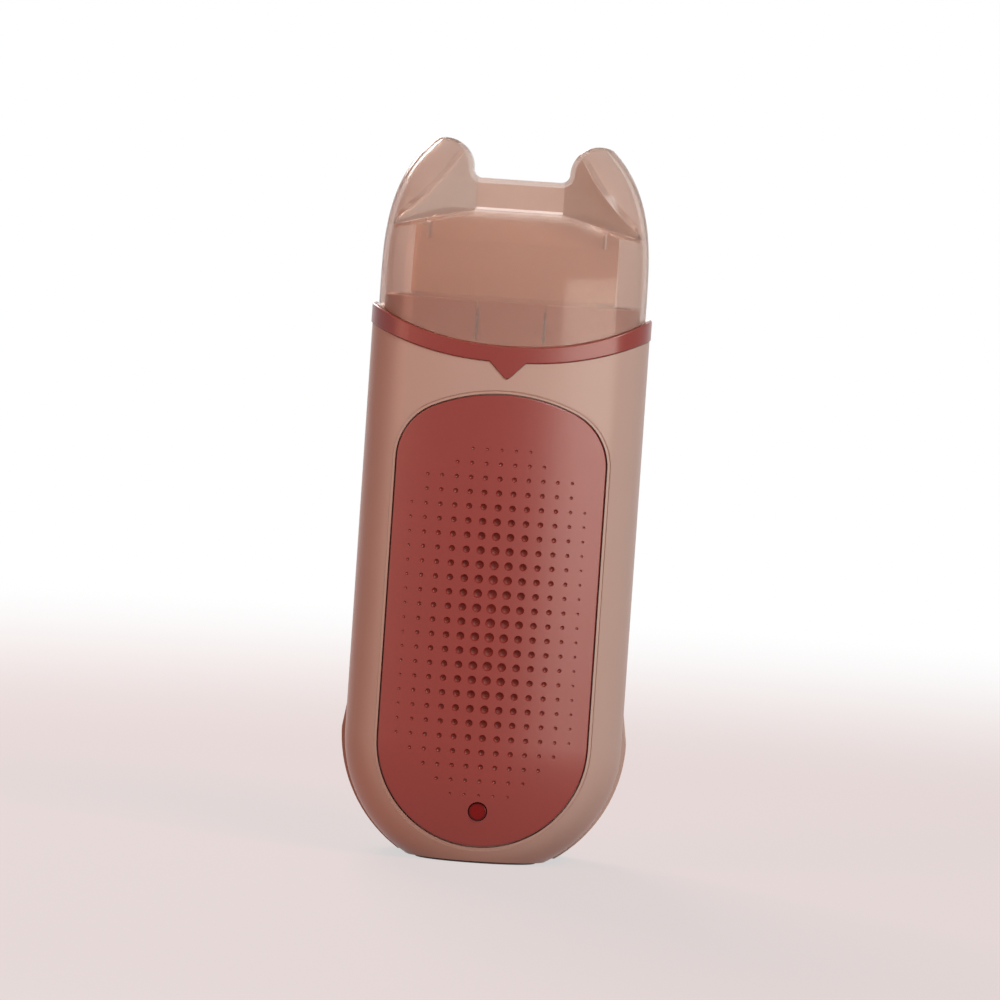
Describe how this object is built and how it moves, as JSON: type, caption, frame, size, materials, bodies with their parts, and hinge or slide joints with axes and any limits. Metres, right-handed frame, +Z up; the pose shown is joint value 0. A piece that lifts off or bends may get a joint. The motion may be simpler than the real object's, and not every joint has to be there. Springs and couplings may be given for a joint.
{
  "type": "roll-on wax heater",
  "caption": "Handheld roll-on wax heater: oval case with dimpled front panel, collar, indicator lamp, clear two-eared pinch cap over a roller wax cartridge.",
  "frame": {"origin": "centre of the base pad's underside, on the table", "axes": "+Z up along the cartridge, the front panel faces -Y, +X to the right seen from the front"},
  "size_m": [0.0724, 0.0526, 0.1816],
  "materials": {
    "case_white": "ivory white moulded plastic, fine polished sheen",
    "rose_panel": "rose moulded plastic, satin gloss",
    "rose_collar": "rose moulded plastic, gloss",
    "pad_rubber": "matt grey rubber",
    "cap_clear": "clear plastic with a faint rose tint, polished",
    "cartridge_amber": "translucent honey-coloured plastic",
    "wax_honey": "set depilatory wax, honey",
    "roller_amber": "translucent honey-coloured plastic",
    "aluminium_sheet": "drawn aluminium, satin",
    "ceramic_grey": "fired ceramic heating element, matt",
    "insulator_film": "amber insulating film",
    "screw_steel": "zinc-plated steel",
    "thermostat_steel": "pressed steel can",
    "fuse_body": "sleeved fuse",
    "board_green": "solder-masked laminate",
    "resistor_body": "lacquered resistor",
    "diode_body": "moulded epoxy",
    "led_clear": "tinted lamp epoxy",
    "lens_red": "dark red translucent plastic, polished",
    "inlet_black": "black nylon",
    "pin_brass": "plated contact pin",
    "lead_white": "silicone-sleeved wire",
    "lead_red": "silicone-sleeved wire"
  },
  "bodies": {
    "heater": {"front_shell": "case_white", "rear_shell": "case_white", "front_panel": "rose_panel", "base_pad": "pad_rubber", "collar": "rose_collar", "heating_chamber": "aluminium_sheet", "ptc_element": "ceramic_grey", "heater_insulator": "insulator_film", "heater_clamp": "aluminium_sheet", "clamp_screws": "screw_steel", "thermostat": "thermostat_steel", "thermostat_clip": "screw_steel", "thermal_fuse": "fuse_body", "circuit_board": "board_green", "board_screws": "screw_steel", "board_resistor": "resistor_body", "board_diode": "diode_body", "indicator_led": "led_clear", "indicator_lens": "lens_red", "power_inlet": "inlet_black", "inlet_pins": "pin_brass", "inlet_leads": "lead_white", "heater_leads": "lead_red", "sensor_leads": "lead_white", "case_screws": "screw_steel"},
    "cartridge": {"cartridge_bottle": "cartridge_amber", "wax_fill": "wax_honey", "roller_head": "cartridge_amber"},
    "roller": {"roller": "roller_amber"},
    "cap": {"cap_cover": "cap_clear"}
  },
  "joints": [
    {"name": "cartridge_lift", "type": "slide", "parent": "heater", "child": "cartridge", "axis": [0, 0, 1], "range_m": [0, 0.096]},
    {"name": "cap_pull", "type": "slide", "parent": "cartridge", "child": "cap", "axis": [0, 0, 1], "range_m": [0, 0.034]},
    {"name": "roller_spin", "type": "hinge", "parent": "cartridge", "child": "roller", "pos_m": [0, 0, 0.1536], "axis": [1, 0, 0], "continuous": true}
  ]
}
